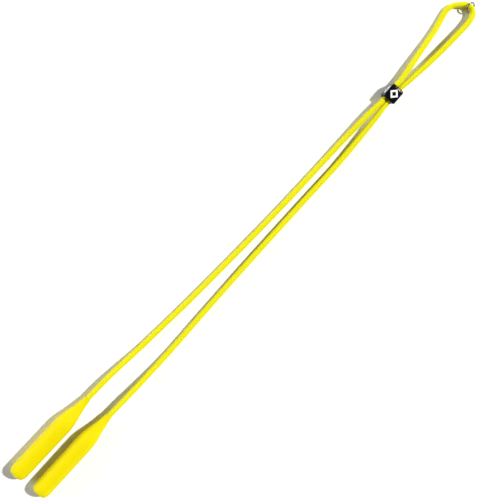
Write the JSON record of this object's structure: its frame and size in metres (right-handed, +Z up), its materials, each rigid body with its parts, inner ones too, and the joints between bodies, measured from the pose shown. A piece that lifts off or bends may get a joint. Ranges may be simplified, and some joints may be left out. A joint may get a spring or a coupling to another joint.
{
  "type": "eyewear retainer strap",
  "caption": "Sports eyewear retainer strap: a cord folded in half, with a hollow tapered sleeve on each end, a sliding cinch bead over both strands and a split ring on the loop.",
  "frame": {"origin": "on the surface the strap lies on, under the middle of the box round its sleeves, bead and ring", "axes": "+Y along the folded strap, from the open sleeve mouths to the loop; +Z up from the surface it lies on; +X to the right seen from above with the loop furthest away"},
  "size_m": [0.0288, 0.3463, 0.0098],
  "materials": {
    "cord_braid": "soft braided sleeve over an elastic core, matt",
    "sleeve_rubber": "smooth matt moulded silicone rubber",
    "ferrule_metal": "plain crimped metal",
    "bead_plastic": "glossy moulded plastic",
    "mark_plastic": "filled white inlay",
    "ring_steel": "polished plated steel wire"
  },
  "bodies": {
    "strap": {"cord": "cord_braid"},
    "left_sleeve": {"temple_sleeve_left": "sleeve_rubber", "cord_ferrule_left": "ferrule_metal"},
    "right_sleeve": {"temple_sleeve_right": "sleeve_rubber", "cord_ferrule_right": "ferrule_metal"},
    "slider": {"slide_bead": "bead_plastic", "bead_mark_top": "mark_plastic", "bead_mark_left": "mark_plastic", "bead_mark_bottom": "mark_plastic", "bead_mark_right": "mark_plastic"},
    "ring": {"jump_ring": "ring_steel"}
  },
  "joints": [
    {"name": "bead_slide", "type": "slide", "parent": "strap", "child": "slider", "axis": [-0.0279, 0.9996, 0], "range_m": [-0.1, 0.025], "deforming": ["cord"]},
    {"name": "left_sleeve_swing", "type": "hinge", "parent": "strap", "child": "left_sleeve", "pos_m": [-0.00828, -0.10411, 0.00492], "axis": [0, 0, 1], "range_deg": [-60, 2], "deforming": ["cord"]},
    {"name": "right_sleeve_swing", "type": "hinge", "parent": "strap", "child": "right_sleeve", "pos_m": [0.00585, -0.10253, 0.00492], "axis": [0, 0, 1], "range_deg": [-2, 60], "deforming": ["cord"]},
    {"name": "ring_swing", "type": "hinge", "parent": "strap", "child": "ring", "pos_m": [-0.00643, 0.17016, 0.00292], "axis": [0.98, -0.1244, 0.1555], "range_deg": [-35, 35]}
  ]
}
